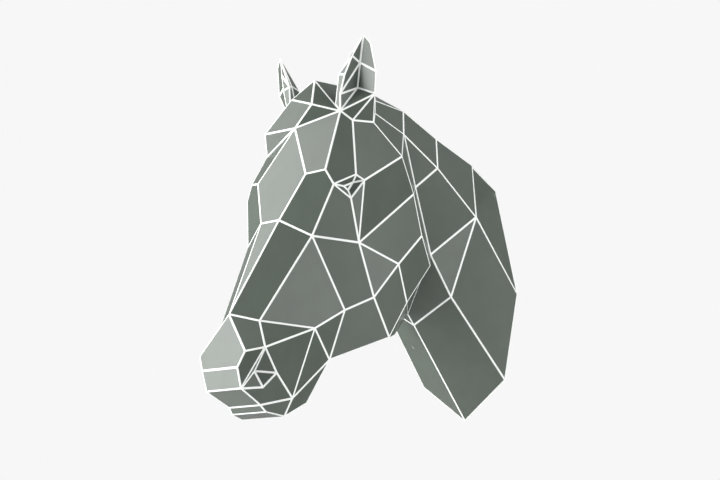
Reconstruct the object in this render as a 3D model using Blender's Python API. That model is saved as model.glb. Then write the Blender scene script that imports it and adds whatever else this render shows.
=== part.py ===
"""A faceted horse's head that hangs on a wall, folded from flat card panels and glued into one shell.

Metres, +Z up. The wall is the plane y = 0, the horse looks along -Y and its left side is at +X. The world's
origin is the spot on the flat back where a wall fixing holds the head. The solid stands for the hollow
shell, so it has the shell's outer faces and its flat back.
"""

import bmesh
import bpy
from mathutils import Vector

NAME = "horse_head"

# Driving dimensions: chin to ear tips, wall to lips, and the neck's back from side to side
HEIGHT = 0.504
REACH = 0.454
WIDTH = 0.212

# Height of the wall fixing above the chin, as a share of HEIGHT
FIXING_SHARE = 0.599

# The card's colour, and how dull it is
CARD_COLOUR = (0.135, 0.155, 0.130, 1.0)
CARD_ROUGHNESS = 0.45

# How often the corners are eased towards flat panels
FLATTEN_PASSES = 600

# The corners where folds meet, each as shares: across of half the WIDTH towards the horse's left, out from
# the wall of the REACH, and up from the chin of the HEIGHT. A corner with an across of 0 is on the middle
# line, and one with an out of 0 is on the wall. Every other corner has a twin on the right, with a * after
# its name, apart from those of the forelock.
FACE = {
    "forehead": (0.000, 0.699, 0.761),
    "brow_inner": (0.437, 0.756, 0.620),
    "brow_outer": (0.672, 0.731, 0.627),
    "nose_top": (0.163, 0.804, 0.503),
    "nose_end": (0.000, 0.963, 0.257),
    "nose_side": (0.349, 0.922, 0.236),
    "face_side": (0.582, 0.768, 0.455),
    "temple_front": (0.633, 0.607, 0.771),
    "temple_rear": (0.636, 0.522, 0.776),
}
EYE = {
    "eye_front": (0.790, 0.725, 0.586),
    "eye_top": (0.890, 0.659, 0.614),
    "eye_rear": (0.917, 0.632, 0.601),
    "eye_bottom": (0.831, 0.668, 0.554),
    "eyeball_top": (0.812, 0.655, 0.596),
    "eyeball_front": (0.771, 0.684, 0.585),
    "eyeball_bottom": (0.786, 0.669, 0.575),
}
CHEEK = {
    "cheek_top": (0.766, 0.625, 0.444),
    "cheek_rear": (0.855, 0.486, 0.396),
    "cheek_bottom": (0.729, 0.562, 0.307),
    "cheek_front": (0.585, 0.647, 0.272),
    "cheek_mouth": (0.484, 0.743, 0.223),
    "rim_top": (0.798, 0.444, 0.687),
    "rim_upper": (0.625, 0.356, 0.600),
    "rim_middle": (0.771, 0.363, 0.482),
    "rim_lower": (0.682, 0.308, 0.407),
    "jaw_rear": (0.757, 0.432, 0.299),
    "jaw_angle": (0.637, 0.481, 0.208),
    "jaw_front": (0.354, 0.660, 0.148),
}
MUZZLE = {
    "muzzle_top": (0.410, 0.990, 0.158),
    "muzzle_front": (0.318, 1.000, 0.119),
    "lip_top": (0.312, 0.986, 0.067),
    "lip_bottom": (0.278, 0.911, 0.029),
    "mouth": (0.304, 0.895, 0.011),
    "chin": (0.380, 0.843, 0.000),
    "chin_rear": (0.302, 0.742, 0.036),
    "mouth_corner": (0.411, 0.818, 0.046),
    "nostril_top": (0.579, 0.951, 0.166),
    "nostril_rear": (0.502, 0.894, 0.106),
    "nostril_bottom": (0.382, 0.921, 0.071),
    "nostril_deep": (0.351, 0.945, 0.111),
}
EAR = {
    "ear_foot_front": (0.508, 0.628, 0.798),
    "ear_foot_rear": (0.802, 0.551, 0.843),
    "ear_foot_back": (0.501, 0.547, 0.842),
    "ear_foot_side": (0.390, 0.599, 0.822),
    "ear_rim_low": (0.496, 0.624, 0.844),
    "ear_rim_middle": (0.568, 0.621, 0.894),
    "ear_rim_high": (0.653, 0.608, 0.943),
    "ear_tip": (0.771, 0.586, 0.999),
    "ear_bend": (0.862, 0.579, 0.973),
    "ear_rear": (0.896, 0.568, 0.897),
    "ear_fold_low": (0.562, 0.574, 0.864),
    "ear_fold_high": (0.677, 0.579, 0.927),
    "ear_front": (0.451, 0.619, 0.900),
    "ear_side": (0.450, 0.610, 0.903),
    "ear_back": (0.519, 0.566, 0.898),
}
NECK = {
    "poll": (0.000, 0.502, 0.900),
    "mane": (0.000, 0.364, 0.892),
    "nape": (0.501, 0.484, 0.810),
    "crest_start": (0.336, 0.442, 0.856),
    "crest_front": (0.184, 0.283, 0.851),
    "crest_middle": (0.264, 0.158, 0.784),
    "crest_end": (0.292, 0.000, 0.724),
    "wall_upper": (0.691, 0.000, 0.637),
    "wall_widest": (1.000, 0.000, 0.343),
    "wall_lower": (0.730, 0.000, 0.109),
    "wall_foot": (0.000, 0.000, 0.004),
    "neck_top": (0.481, 0.357, 0.768),
    "neck_upper": (0.631, 0.249, 0.681),
    "neck_middle": (0.931, 0.161, 0.545),
    "neck_lower": (0.606, 0.202, 0.331),
    "throat_upper": (0.488, 0.316, 0.625),
    "throat_middle": (0.638, 0.295, 0.439),
    "throat_back": (0.000, 0.245, 0.293),
    "throat_front": (0.000, 0.305, 0.234),
    "neck_keel": (0.000, 0.220, 0.264),
}
FORELOCK = {
    "lock_top": (0.000, 0.615, 0.902),
    "lock_fold": (0.183, 0.670, 0.823),
    "lock_upper": (-0.181, 0.671, 0.848),
    "lock_side": (-0.493, 0.714, 0.760),
}

# Corners that lie on a straight fold between two others: the ends, and how far along
ON_FOLD = {
    "ear_foot_inner": ("ear_foot_front", "lock_top", 0.20),
    "ear_foot_inner*": ("ear_foot_front*", "lock_top", 0.20),
    "lock_end": ("brow_outer*", "ear_foot_front*", 0.450),
}

# The panels of the left side, each as its corners in order. All have a mirrored twin on the right.
SIDE_PANELS = (
    # Face and cheek
    ("brow_inner", "brow_outer", "eye_front", "face_side", "nose_top"),
    ("nose_top", "face_side", "nose_side", "nose_end"),
    ("eye_front", "eye_bottom", "cheek_top", "face_side"),
    ("eye_bottom", "eye_rear", "cheek_top"),
    ("temple_front", "temple_rear", "rim_top", "eye_rear", "eye_top"),
    ("eye_rear", "rim_top", "rim_upper", "cheek_top"),
    ("cheek_top", "rim_upper", "rim_middle", "cheek_rear"),
    ("cheek_rear", "rim_middle", "rim_lower", "jaw_rear"),
    ("cheek_top", "cheek_rear", "cheek_bottom"),
    ("cheek_rear", "jaw_rear", "jaw_angle", "cheek_bottom"),
    ("cheek_bottom", "jaw_angle", "jaw_front", "cheek_front"),
    ("face_side", "cheek_top", "cheek_bottom", "cheek_front"),
    ("face_side", "cheek_front", "cheek_mouth", "nose_side"),
    ("cheek_front", "jaw_front", "cheek_mouth"),
    ("cheek_mouth", "jaw_front", "mouth_corner"),
    # Muzzle and nostril
    ("nose_end", "nose_side", "nostril_top", "muzzle_top"),
    ("nose_side", "cheek_mouth", "nostril_top"),
    ("nostril_top", "cheek_mouth", "mouth_corner", "nostril_rear"),
    ("muzzle_top", "nostril_top", "lip_top", "muzzle_front"),
    ("nostril_top", "nostril_deep", "lip_top"),
    ("nostril_top", "nostril_rear", "nostril_deep"),
    ("nostril_deep", "nostril_rear", "nostril_bottom"),
    ("lip_top", "nostril_deep", "nostril_bottom"),
    ("lip_top", "nostril_bottom", "nostril_rear", "mouth_corner", "lip_bottom"),
    ("lip_bottom", "mouth_corner", "chin", "mouth"),
    ("mouth_corner", "jaw_front", "chin_rear", "chin"),
    # Eye
    ("eye_front", "eye_top", "eyeball_top", "eyeball_front"),
    ("eye_top", "eye_rear", "eyeball_top"),
    ("eye_rear", "eye_bottom", "eyeball_bottom", "eyeball_top"),
    ("eye_front", "eyeball_front", "eyeball_bottom", "eye_bottom"),
    ("eyeball_top", "eyeball_bottom", "eyeball_front"),
    # Hollow of the ear
    ("ear_tip", "ear_rim_high", "ear_fold_high"),
    ("ear_rim_high", "ear_rim_middle", "ear_rim_low", "ear_fold_high"),
    ("ear_fold_high", "ear_rim_low", "ear_fold_low"),
    ("ear_rim_low", "ear_foot_front", "ear_fold_low"),
    ("ear_fold_low", "ear_foot_front", "ear_foot_rear"),
    ("ear_tip", "ear_fold_high", "ear_rear", "ear_bend"),
    ("ear_fold_high", "ear_fold_low", "ear_foot_rear", "ear_rear"),
    # Outside of the ear
    ("ear_rim_high", "ear_front", "ear_rim_middle"),
    ("ear_rim_middle", "ear_front", "ear_foot_inner", "ear_foot_front", "ear_rim_low"),
    ("ear_tip", "ear_front", "ear_rim_high"),
    ("ear_tip", "ear_side", "ear_front"),
    ("ear_front", "ear_side", "ear_foot_side", "ear_foot_inner"),
    ("ear_tip", "ear_back", "ear_side"),
    ("ear_side", "ear_back", "ear_foot_back", "ear_foot_side"),
    ("ear_tip", "ear_bend", "ear_back"),
    ("ear_bend", "ear_rear", "ear_back"),
    ("ear_back", "ear_rear", "ear_foot_rear", "ear_foot_back"),
    # Head around the ear
    ("ear_foot_front", "ear_foot_rear", "temple_front"),
    ("temple_front", "ear_foot_rear", "temple_rear"),
    ("ear_foot_rear", "nape", "temple_rear"),
    ("ear_foot_rear", "crest_start", "nape"),
    ("ear_foot_back", "crest_start", "ear_foot_rear"),
    ("poll", "crest_start", "ear_foot_back"),
    ("poll", "ear_foot_back", "ear_foot_side"),
    ("lock_top", "poll", "ear_foot_side", "ear_foot_inner"),
    ("poll", "mane", "crest_start"),
    ("mane", "crest_front", "crest_start"),
    # Neck
    ("nape", "neck_top", "rim_top", "temple_rear"),
    ("crest_start", "crest_front", "neck_top", "nape"),
    ("neck_top", "crest_front", "crest_middle", "neck_upper"),
    ("neck_upper", "crest_middle", "crest_end", "neck_middle"),
    ("neck_middle", "crest_end", "wall_upper"),
    ("neck_middle", "wall_upper", "wall_widest"),
    ("neck_top", "neck_upper", "throat_upper"),
    ("neck_upper", "neck_middle", "throat_middle", "throat_upper"),
    ("neck_middle", "neck_lower", "throat_middle"),
    ("neck_middle", "wall_widest", "wall_lower", "neck_lower"),
    ("neck_lower", "wall_lower", "wall_foot", "neck_keel"),
    ("throat_middle", "neck_lower", "neck_keel", "throat_back"),
    # Step from the head's rear rim down to the neck
    ("neck_top", "rim_top", "rim_upper", "throat_upper"),
    ("throat_upper", "rim_upper", "rim_middle", "throat_middle"),
    ("throat_middle", "rim_middle", "rim_lower"),
    ("throat_middle", "rim_lower", "jaw_rear"),
    ("throat_middle", "jaw_rear", "throat_back"),
    ("throat_back", "jaw_rear", "throat_front"),
    ("throat_front", "jaw_rear", "jaw_angle"),
)

# The panels that cross the middle line
MIDDLE_PANELS = (
    ("forehead", "brow_inner", "nose_top", "nose_top*", "brow_inner*"),
    ("nose_top", "nose_end", "nose_top*"),
    ("nose_end", "muzzle_top", "muzzle_front", "muzzle_front*", "muzzle_top*"),
    ("muzzle_front", "lip_top", "lip_top*", "muzzle_front*"),
    ("lip_top", "lip_bottom", "lip_bottom*", "lip_top*"),
    ("lip_bottom", "mouth", "mouth*", "lip_bottom*"),
    ("mouth", "chin", "chin*", "mouth*"),
    ("chin", "chin_rear", "chin_rear*", "chin*"),
    ("chin_rear", "jaw_front", "jaw_front*", "chin_rear*"),
    ("jaw_front", "jaw_angle", "jaw_angle*", "jaw_front*"),
    ("jaw_angle", "throat_front", "jaw_angle*"),
    ("mane", "crest_front*", "crest_front"),
    ("crest_front", "crest_front*", "crest_middle*", "crest_middle"),
    ("crest_middle", "crest_middle*", "crest_end*", "crest_end"),
    ("crest_end", "crest_end*", "wall_upper*", "wall_widest*", "wall_lower*",
     "wall_foot", "wall_lower", "wall_widest", "wall_upper"),
)

# The forehead and temple panels, of which the forelock covers a part on the right
LEFT_PANELS = (
    ("forehead", "ear_foot_front", "brow_outer", "brow_inner"),
    ("brow_outer", "ear_foot_front", "temple_front", "eye_top", "eye_front"),
)
RIGHT_PANELS = (
    ("forehead", "brow_inner*", "brow_outer*", "lock_end"),
    ("brow_outer*", "eye_front*", "eye_top*", "temple_front*", "ear_foot_front*", "lock_end"),
)

# The forelock, swept over to the right
FORELOCK_PANELS = (
    ("forehead", "lock_fold", "ear_foot_front"),
    ("lock_fold", "lock_top", "ear_foot_inner", "ear_foot_front"),
    ("lock_upper", "lock_top", "lock_fold"),
    ("lock_upper", "lock_fold", "forehead", "lock_side"),
    ("lock_side", "forehead", "lock_end"),
    ("lock_side", "lock_end", "ear_foot_front*"),
    ("lock_upper", "lock_side", "ear_foot_front*"),
    ("lock_top", "lock_upper", "ear_foot_front*", "ear_foot_inner*"),
)


def place(shares):
    """Return a corner's place in the world from its shares."""
    across, out, up = shares
    return Vector((across * WIDTH / 2, -out * REACH, (up - FIXING_SHARE) * HEIGHT))


def twin(name, corners):
    """Return the name of a corner's twin on the other side, or its own name on the middle line."""
    if name.endswith("*"):
        return name[:-1]
    return name + "*" if name + "*" in corners else name


def place_corners():
    """Return every corner's place by name, with the twins on the right."""
    corners = {}
    for group in (FACE, EYE, CHEEK, MUZZLE, EAR, NECK):
        for name, shares in group.items():
            spot = place(shares)
            corners[name] = spot
            if shares[0] != 0:
                corners[name + "*"] = Vector((-spot.x, spot.y, spot.z))
    for name, shares in FORELOCK.items():
        corners[name] = place(shares)
    place_on_folds(corners)
    return corners


def place_on_folds(corners):
    """Put the corners of ON_FOLD on the straight line between their ends."""
    for name, (start, end, along) in ON_FOLD.items():
        corners[name] = corners[start].lerp(corners[end], along)


def panel_normal(spots):
    """Return a panel's normal, also when its corners aren't quite in one plane."""
    total = Vector((0, 0, 0))
    for spot, following in zip(spots, spots[1:] + spots[:1]):
        total += spot.cross(following)
    return total.normalized()


def flatten(corners, panels, free):
    """Ease the free corners until each panel lies in one plane, as a panel of folded card does.

    A corner on the middle line stays on it, and one on the wall stays on the wall.
    """
    on_middle = {name for name, spot in corners.items() if spot.x == 0}
    on_wall = {name for name, spot in corners.items() if spot.y == 0}
    bent = [panel for panel in panels if len(panel) > 3]
    for _ in range(FLATTEN_PASSES):
        pulls = {name: [] for name in free}
        for panel in bent:
            spots = [corners[name] for name in panel]
            normal = panel_normal(spots)
            centre = sum(spots, Vector()) / len(spots)
            for name, spot in zip(panel, spots):
                if name in free:
                    pulls[name].append(normal * (centre - spot).dot(normal))
        for name, moves in pulls.items():
            if not moves:
                continue
            move = sum(moves, Vector()) / len(moves)
            if name in on_middle:
                move.x = 0
            if name in on_wall:
                move.y = 0
            corners[name] += move
        place_on_folds(corners)


def build_shell(corners, panels):
    """Return a mesh with one face for each panel, faces outwards."""
    shell = bmesh.new()
    used = {name for panel in panels for name in panel}
    points = {name: shell.verts.new(corners[name]) for name in corners if name in used}
    for panel in panels:
        shell.faces.new([points[name] for name in panel])
    bmesh.ops.recalc_face_normals(shell, faces=shell.faces)
    bmesh.ops.triangulate(shell, faces=shell.faces, quad_method="SHORT_EDGE", ngon_method="EAR_CLIP")
    mesh = bpy.data.meshes.new(NAME)
    shell.to_mesh(mesh)
    shell.free()
    return mesh


def card_material():
    """Return the grey-green card."""
    material = bpy.data.materials.new("grey_green_card")
    material.use_nodes = True
    surface = material.node_tree.nodes["Principled BSDF"]
    surface.inputs["Base Color"].default_value = CARD_COLOUR
    surface.inputs["Roughness"].default_value = CARD_ROUGHNESS
    surface.inputs["Metallic"].default_value = 0.0
    material.diffuse_color = CARD_COLOUR
    return material


for leftover in list(bpy.data.objects):
    bpy.data.objects.remove(leftover)

places = place_corners()
right_side_panels = tuple(tuple(twin(name, places) for name in reversed(panel)) for panel in SIDE_PANELS)
right_twins = tuple(tuple(twin(name, places) for name in reversed(panel)) for panel in LEFT_PANELS)
even_panels = SIDE_PANELS + right_side_panels + MIDDLE_PANELS + LEFT_PANELS + right_twins
even_corners = {name for name in places if name not in FORELOCK and name not in ON_FOLD}
flatten(places, even_panels, even_corners)
flatten(places, FORELOCK_PANELS, {"lock_upper", "lock_side"})

all_panels = SIDE_PANELS + right_side_panels + MIDDLE_PANELS + LEFT_PANELS + RIGHT_PANELS + FORELOCK_PANELS
head = bpy.data.objects.new(NAME, build_shell(places, all_panels))
head.data.materials.append(card_material())
collection = bpy.data.collections.new("geometric_horse_head")
bpy.context.scene.collection.children.link(collection)
collection.objects.link(head)
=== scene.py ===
"""A faceted horse's head of folded card that hangs on a wall, printed grey-green with white margins.

Metres, +Z up. The wall is the plane y = 0, the horse looks along -Y and its left side is at +X.
"""

import math

import bmesh
import bpy
from mathutils import Matrix, Vector


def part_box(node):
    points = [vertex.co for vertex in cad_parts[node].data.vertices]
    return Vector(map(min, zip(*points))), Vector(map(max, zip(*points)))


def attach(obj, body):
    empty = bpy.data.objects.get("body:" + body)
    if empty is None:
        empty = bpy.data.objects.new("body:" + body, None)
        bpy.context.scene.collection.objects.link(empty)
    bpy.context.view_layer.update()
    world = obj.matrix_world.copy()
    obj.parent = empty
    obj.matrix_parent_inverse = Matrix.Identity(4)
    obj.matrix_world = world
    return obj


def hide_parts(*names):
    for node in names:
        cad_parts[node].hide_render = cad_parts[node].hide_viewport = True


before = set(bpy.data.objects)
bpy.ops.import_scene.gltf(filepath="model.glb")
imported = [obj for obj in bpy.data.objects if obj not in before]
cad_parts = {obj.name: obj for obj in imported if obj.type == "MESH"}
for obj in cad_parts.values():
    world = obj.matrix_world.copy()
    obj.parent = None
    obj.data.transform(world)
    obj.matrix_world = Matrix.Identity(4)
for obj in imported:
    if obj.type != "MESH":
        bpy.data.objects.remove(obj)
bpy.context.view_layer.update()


# The shell
# The head, its ears and its neck are one shell of card, scored and folded into flat panels and glued along
# tabs inside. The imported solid's flat triangles are joined here into the panels that the maker cut.
MERGE_DISTANCE = 0.00002
FLAT_ANGLE = math.radians(0.03)

low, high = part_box("horse_head")
half_width = high.x
reach = -low.y
height = high.z - low.z

shell = bmesh.new()
shell.from_mesh(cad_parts["horse_head"].data)
bmesh.ops.remove_doubles(shell, verts=shell.verts, dist=MERGE_DISTANCE)
bmesh.ops.dissolve_edges(shell, edges=[edge for edge in shell.edges if edge.calc_face_angle() < FLAT_ANGLE])


def spot(across, out, up):
    """Return a place from its shares of half the width, of the reach and of the height."""
    return Vector((across * half_width, -out * reach, low.z + up * height))


def corner(shares, side):
    """Return the shell's corner nearest to a place in shares, on the left for side 1, on the right for -1."""
    across, out, up = shares
    return min(shell.verts, key=lambda vert: (vert.co - spot(side * across, out, up)).length)


# The long panel beside the crest
# This strip of card runs from the crest down to the widest part of the neck. It bends softly and has no fold,
# so its two flat triangles become one panel, which meets the flat back at its widest place.
CREST_END = (0.292, 0.000, 0.724)
WALL_UPPER = (0.691, 0.000, 0.637)
NECK_MIDDLE = (0.931, 0.161, 0.545)
WIDEST_SHARE = 0.9

for side in (1, -1):
    crease = {corner(NECK_MIDDLE, side), corner(WALL_UPPER, side)}
    bmesh.ops.dissolve_edges(shell, edges=[edge for edge in shell.edges if set(edge.verts) == crease])

crest_ends = {corner(CREST_END, side) for side in (1, -1)}
necks = {corner(NECK_MIDDLE, side) for side in (1, -1)}
curved = [face for face in shell.faces if crest_ends & set(face.verts) and necks & set(face.verts)
          and any(vert.co.y > -MERGE_DISTANCE and abs(vert.co.x) > half_width * WIDEST_SHARE
                  for vert in face.verts)]


# The step behind the jaw
# The head's rear rim stands out over the neck like a collar. The narrow panels that join the two are printed
# right up to their folds, with only a hair of bare card.
THROAT_MIDDLE = (0.638, 0.295, 0.439)
THROAT_BACK = (0.000, 0.245, 0.293)
RIM = [(0.798, 0.444, 0.687), (0.625, 0.356, 0.600), (0.771, 0.363, 0.482),
       (0.682, 0.308, 0.407), (0.757, 0.432, 0.299), (0.637, 0.481, 0.208)]
THROAT = [(0.481, 0.357, 0.768), (0.488, 0.316, 0.625), THROAT_MIDDLE, THROAT_BACK, (0.000, 0.305, 0.234)]

step = []
for side in (1, -1):
    ring = {corner(shares, side) for shares in RIM + THROAT}
    step += [face for face in shell.faces if ring.issuperset(face.verts)]


# The printed fields and their white margins
# Colour is printed on each panel before the card is folded. It stops short of every fold and leaves the bare
# card as a narrow white margin, and the back of the shell isn't printed at all.
MARGIN = 0.00140
STEP_MARGIN = 0.00045
HIDDEN_MARGIN = 0.00050
BACK_FACING = 0.999
PRINT, BARE = 0, 1

# The fold where the neck's front meets the step is half hidden, and the print runs almost up to it. Its
# margin is a little wider than the fold's radius, so that the faces stay the right way round.
NECK_LOWER = (0.606, 0.202, 0.331)
NECK_KEEL = (0.000, 0.220, 0.264)

hidden_folds = []
for side in (1, -1):
    ends = [corner(THROAT_MIDDLE, side), corner(THROAT_BACK, side)]
    panel_corners = set(ends) | {corner(NECK_LOWER, side), corner(NECK_KEEL, side)}
    hidden_folds += [(face, ends[0].co.copy(), ends[1].co.copy()) for face in shell.faces
                     if panel_corners == set(face.verts)]

folds = list(shell.edges)
back = [face for face in shell.faces if face.normal.y > BACK_FACING]
lined = [face for face in shell.faces if face not in step and face not in back]
margins = bmesh.ops.inset_individual(shell, faces=lined, thickness=MARGIN, use_even_offset=True)["faces"]
margins += bmesh.ops.inset_individual(shell, faces=step, thickness=STEP_MARGIN, use_even_offset=True)["faces"]
for face in margins + back:
    face.material_index = BARE

for face, start, end in hidden_folds:
    beside = [min(face.verts, key=lambda vert: (vert.co - place).length) for place in (start, end)]
    for vert, other in (beside, reversed(beside)):
        behind = [edge.other_vert(vert) for edge in vert.link_edges
                  if edge in face.edges[:] and other not in edge.verts]
        run = (vert.co - behind[0].co).normalized()
        vert.co += run * (MARGIN - HIDDEN_MARGIN) / run.cross((end - start).normalized()).length

# The long panel bends softly from its corner at the back to the widest part of the neck's side, without a
# score
BEND_CUTS = 15
BEND_PASSES = 14
BEND_EASE = 0.5

bent_edges = []
for face in curved:
    by_wall = sorted(face.verts, key=lambda vert: -vert.co.y)[:3]
    wall_corner = sorted(by_wall, key=lambda vert: vert.co.z)[1]
    neck_corner = min(face.verts, key=lambda vert: vert.co.y)
    bent_edges += list(face.edges) + bmesh.ops.connect_verts(shell, verts=[wall_corner, neck_corner])["edges"]
net = bmesh.ops.subdivide_edges(shell, edges=bent_edges, cuts=BEND_CUTS, use_grid_fill=True)["geom_inner"]
net = [vert for vert in net if isinstance(vert, bmesh.types.BMVert)]
bend_faces = {face for vert in net for face in vert.link_faces}
inner = [vert for vert in net if all(face.material_index == PRINT for face in vert.link_faces)]
for _ in range(BEND_PASSES):
    bmesh.ops.smooth_vert(shell, verts=inner, factor=BEND_EASE,
                          use_axis_x=True, use_axis_y=True, use_axis_z=True)


# The folds
# Card can't fold to a knife edge, so each fold has a small radius that catches the light.
FOLD_RADIUS = 0.0004
FOLD_SEGMENTS = 2

rounded = bmesh.ops.bevel(shell, geom=folds, offset=FOLD_RADIUS, offset_type="OFFSET", segments=FOLD_SEGMENTS,
                          profile=0.5, affect="EDGES", clamp_overlap=False, material=-1)["faces"]
for face in rounded + [face for face in bend_faces if face.is_valid and face.material_index == PRINT]:
    face.smooth = True

head_mesh = bpy.data.meshes.new("folded_head")
shell.to_mesh(head_mesh)
shell.free()
head = bpy.data.objects.new("folded_head", head_mesh)
bpy.context.scene.collection.objects.link(head)


# The card's surface
# Smooth coated card. Its fibres show as a very fine grain, and a sheet of it is never quite even in tone.
FIBRE_SIZE = 0.0007
FIBRE_DETAIL = 3.0
CLOUD_SIZE = 0.030
CLOUD_DETAIL = 2.0

card_surface = bpy.data.node_groups.new("card_surface", "ShaderNodeTree")
for label, size in (("Fibre Size", FIBRE_SIZE), ("Cloud Size", CLOUD_SIZE)):
    socket = card_surface.interface.new_socket(label, in_out="INPUT", socket_type="NodeSocketFloat")
    socket.default_value = size
for label in ("Fibres", "Clouds"):
    card_surface.interface.new_socket(label, in_out="OUTPUT", socket_type="NodeSocketFloat")
nodes = card_surface.nodes
links = card_surface.links
inputs = nodes.new("NodeGroupInput")
outputs = nodes.new("NodeGroupOutput")
place = nodes.new("ShaderNodeTexCoord")
for label, detail, output in (("Fibre Size", FIBRE_DETAIL, "Fibres"), ("Cloud Size", CLOUD_DETAIL, "Clouds")):
    scale = nodes.new("ShaderNodeMath")
    scale.operation = "DIVIDE"
    scale.inputs[0].default_value = 1.0
    links.new(inputs.outputs[label], scale.inputs[1])
    noise = nodes.new("ShaderNodeTexNoise")
    noise.inputs["Detail"].default_value = detail
    links.new(place.outputs["Object"], noise.inputs["Vector"])
    links.new(scale.outputs[0], noise.inputs["Scale"])
    links.new(noise.outputs["Fac"], outputs.inputs[output])

# Noise values between which the tone drifts from one colour to the other, and the roughness from low to high
CLOUD_RANGE = (0.35, 0.65)
FIBRE_RANGE = (0.3, 0.7)
ROUGHNESS_DRIFT = 0.03
GRAIN_HEIGHT = 0.00005


def card_material(name, colour, cloud_colour, roughness, grain):
    """Return a material of coated card whose tone and roughness drift a little over the sheet."""
    material = bpy.data.materials.new(name)
    material.use_nodes = True
    tree = material.node_tree
    surface = tree.nodes["Principled BSDF"]
    card = tree.nodes.new("ShaderNodeGroup")
    card.node_tree = card_surface
    card.inputs["Fibre Size"].default_value = FIBRE_SIZE
    card.inputs["Cloud Size"].default_value = CLOUD_SIZE
    tint = tree.nodes.new("ShaderNodeMix")
    tint.data_type = "RGBA"
    tint.inputs["A"].default_value = colour
    tint.inputs["B"].default_value = cloud_colour
    spread = tree.nodes.new("ShaderNodeMapRange")
    spread.inputs["From Min"].default_value = CLOUD_RANGE[0]
    spread.inputs["From Max"].default_value = CLOUD_RANGE[1]
    tree.links.new(card.outputs["Clouds"], spread.inputs["Value"])
    tree.links.new(spread.outputs["Result"], tint.inputs["Factor"])
    tree.links.new(tint.outputs["Result"], surface.inputs["Base Color"])
    dull = tree.nodes.new("ShaderNodeMapRange")
    dull.inputs["From Min"].default_value = FIBRE_RANGE[0]
    dull.inputs["From Max"].default_value = FIBRE_RANGE[1]
    dull.inputs["To Min"].default_value = roughness - ROUGHNESS_DRIFT
    dull.inputs["To Max"].default_value = roughness + ROUGHNESS_DRIFT
    tree.links.new(card.outputs["Fibres"], dull.inputs["Value"])
    tree.links.new(dull.outputs["Result"], surface.inputs["Roughness"])
    bump = tree.nodes.new("ShaderNodeBump")
    bump.inputs["Strength"].default_value = grain
    bump.inputs["Distance"].default_value = GRAIN_HEIGHT
    tree.links.new(card.outputs["Fibres"], bump.inputs["Height"])
    tree.links.new(bump.outputs["Normal"], surface.inputs["Normal"])
    return material


# The print is a grey-green ink with a soft sheen, and the bare card is white
PRINT_COLOUR = (0.0740, 0.0915, 0.0745, 1.0)
PRINT_CLOUD = (0.0690, 0.0840, 0.0700, 1.0)
PRINT_ROUGHNESS = 0.30
PRINT_SHEEN = 0.36
PRINT_GRAIN = 0.2
BARE_COLOUR = (0.82, 0.84, 0.82, 1.0)
BARE_CLOUD = (0.79, 0.81, 0.79, 1.0)
BARE_ROUGHNESS = 0.60
BARE_GRAIN = 0.5

printed_card = card_material("printed_card", PRINT_COLOUR, PRINT_CLOUD, PRINT_ROUGHNESS, PRINT_GRAIN)
printed_card.node_tree.nodes["Principled BSDF"].inputs["Specular IOR Level"].default_value = PRINT_SHEEN
head_mesh.materials.append(printed_card)
head_mesh.materials.append(card_material("bare_card", BARE_COLOUR, BARE_CLOUD, BARE_ROUGHNESS, BARE_GRAIN))

# A short white fleck at the foot of the neck's right side, where the print is mixed with the bare card's
# colour. It is strongest inside its core, a share of its half size, and fades out to its edge.
FLECK_PLACE = spot(-0.390, 0.129, 0.212)
FLECK_RUN = Vector((0.58, 0.27, -0.77))
FLECK_LENGTH = 0.0090
FLECK_WIDTH = 0.0022
FLECK_EDGE = 1.0
FLECK_CORE = 0.2
FLECK_STRENGTH = 0.75

nodes = printed_card.node_tree.nodes
links = printed_card.node_tree.links
fleck_place = nodes.new("ShaderNodeTexCoord")
fleck_frame = nodes.new("ShaderNodeMapping")
fleck_frame.vector_type = "TEXTURE"
fleck_frame.inputs["Location"].default_value = FLECK_PLACE
fleck_frame.inputs["Rotation"].default_value = FLECK_RUN.to_track_quat("X", "Z").to_euler()
fleck_frame.inputs["Scale"].default_value = (FLECK_LENGTH / 2, FLECK_WIDTH / 2, FLECK_WIDTH / 2)
fleck_distance = nodes.new("ShaderNodeVectorMath")
fleck_distance.operation = "LENGTH"
fleck_mask = nodes.new("ShaderNodeMapRange")
fleck_mask.inputs["From Min"].default_value = FLECK_EDGE
fleck_mask.inputs["From Max"].default_value = FLECK_CORE
fleck_mask.inputs["To Max"].default_value = FLECK_STRENGTH
fleck_mix = nodes.new("ShaderNodeMix")
fleck_mix.data_type = "RGBA"
fleck_mix.inputs["B"].default_value = BARE_COLOUR
surface = nodes["Principled BSDF"]
ink = surface.inputs["Base Color"].links[0].from_socket
links.new(fleck_place.outputs["Object"], fleck_frame.inputs["Vector"])
links.new(fleck_frame.outputs["Vector"], fleck_distance.inputs[0])
links.new(fleck_distance.outputs["Value"], fleck_mask.inputs["Value"])
links.new(fleck_mask.outputs["Result"], fleck_mix.inputs["Factor"])
links.new(ink, fleck_mix.inputs["A"])
links.new(fleck_mix.outputs["Result"], surface.inputs["Base Color"])

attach(head, "root")
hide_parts("horse_head")


# The studio
# A plain pale floor well below the hanging head, soft light, and the camera where the photographer stood.
FLOOR_HEIGHT = -1.5
FLOOR_SIZE = 12.0
FLOOR_COLOUR = (0.8, 0.8, 0.8, 1.0)
FLOOR_ROUGHNESS = 0.9
FLOOR_GLOW = (0.5, 0.5, 0.5, 1.0)

floor_mesh = bpy.data.meshes.new("floor")
sheet = bmesh.new()
bmesh.ops.create_grid(sheet, x_segments=1, y_segments=1, size=FLOOR_SIZE / 2)
bmesh.ops.translate(sheet, verts=sheet.verts, vec=(0, 0, FLOOR_HEIGHT))
sheet.to_mesh(floor_mesh)
sheet.free()
floor = bpy.data.objects.new("floor", floor_mesh)
bpy.context.scene.collection.objects.link(floor)

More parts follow.
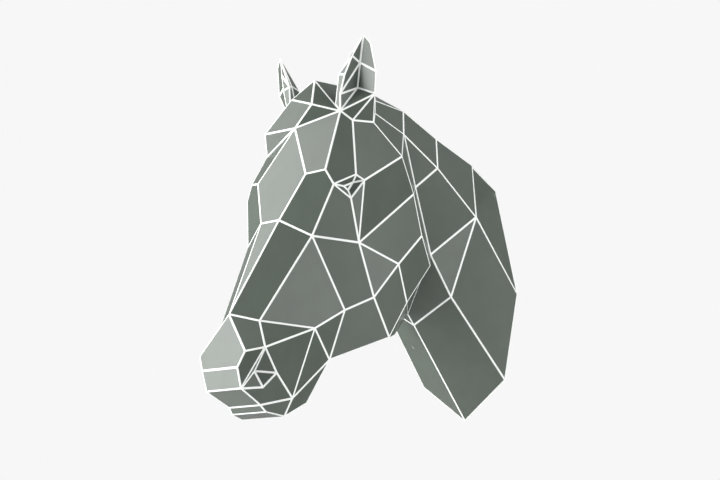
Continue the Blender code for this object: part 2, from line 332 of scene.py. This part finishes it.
floor_material = bpy.data.materials.new("pale_floor")
floor_material.use_nodes = True
floor_surface = floor_material.node_tree.nodes["Principled BSDF"]
floor_surface.inputs["Base Color"].default_value = FLOOR_COLOUR
floor_surface.inputs["Roughness"].default_value = FLOOR_ROUGHNESS
floor_surface.inputs["Emission Color"].default_value = FLOOR_GLOW
floor_links = floor_material.node_tree.links
floor_seen = floor_material.node_tree.nodes.new("ShaderNodeLightPath")
floor_links.new(floor_seen.outputs["Is Camera Ray"], floor_surface.inputs["Emission Strength"])
floor_mesh.materials.append(floor_material)

# The camera sees a plain pale surround, and the head gets only a part of that light from it
SURROUND = (0.93, 0.93, 0.93, 1.0)
FILL = (0.33, 0.33, 0.33, 1.0)

world = bpy.data.worlds.new("studio")
world.use_nodes = True
nodes = world.node_tree.nodes
links = world.node_tree.links
seen = nodes.new("ShaderNodeLightPath")
tone = nodes.new("ShaderNodeMix")
tone.data_type = "RGBA"
tone.inputs["A"].default_value = FILL
tone.inputs["B"].default_value = SURROUND
links.new(seen.outputs["Is Camera Ray"], tone.inputs["Factor"])
links.new(tone.outputs["Result"], nodes["Background"].inputs["Color"])
bpy.context.scene.world = world
bpy.context.scene.view_settings.view_transform = "Standard"

# Round soft lights around the head. Each has its azimuth from straight ahead towards the horse's left, its
# elevation, its diameter and its watts. The key lights are in front and on the horse's right, and the weaker
# side lights are on its left.
LIGHT_CENTRE = Vector((0.0, -0.25, 0.0))
LIGHT_DISTANCE = 2.6
SOFT_LIGHTS = {
    "key_middle": (-30, 0, 1.6, 72),
    "key_low": (-45, -20, 1.2, 29),
    "key_high": (-45, 15, 1.2, 24),
    "key_top": (-60, 35, 1.6, 29),
    "overhead": (-28, 57, 0.8, 15),
    "side_middle": (90, 0, 1.6, 7),
    "side_low": (112, -20, 1.2, 10),
    "side_back": (115, 0, 1.2, 12),
    "side_high": (90, 35, 1.6, 20),
    "side_back_high": (120, 35, 1.6, 18),
}

for name, (azimuth, elevation, size, watts) in SOFT_LIGHTS.items():
    light = bpy.data.lights.new(name, "AREA")
    light.shape = "DISK"
    light.size = size
    light.energy = watts
    lamp = bpy.data.objects.new(name, light)
    bpy.context.scene.collection.objects.link(lamp)
    turn = Matrix.Rotation(math.radians(azimuth), 3, "Z") @ Matrix.Rotation(math.radians(-elevation), 3, "X")
    direction = turn @ Vector((0, -1, 0))
    lamp.location = LIGHT_CENTRE + direction * LIGHT_DISTANCE
    lamp.rotation_euler = direction.to_track_quat("Z", "Y").to_euler()

CAMERA_PLACE = Vector((1.7079, -1.9104, -0.4134))
CAMERA_AZIMUTH = math.radians(44.97)
CAMERA_PITCH = math.radians(8.37)
CAMERA_ROLL = math.radians(-1.47)
CAMERA_LENS = 90.0
SENSOR_WIDTH = 36.0

camera_data = bpy.data.cameras.new("camera")
camera_data.lens = CAMERA_LENS
camera_data.sensor_width = SENSOR_WIDTH
camera_data.sensor_fit = "HORIZONTAL"
camera = bpy.data.objects.new("camera", camera_data)
bpy.context.scene.collection.objects.link(camera)
camera.matrix_world = (Matrix.Translation(CAMERA_PLACE)
                       @ Matrix.Rotation(CAMERA_AZIMUTH, 4, "Z")
                       @ Matrix.Rotation(math.pi / 2 + CAMERA_PITCH, 4, "X")
                       @ Matrix.Rotation(CAMERA_ROLL, 4, "Z"))
bpy.context.scene.camera = camera
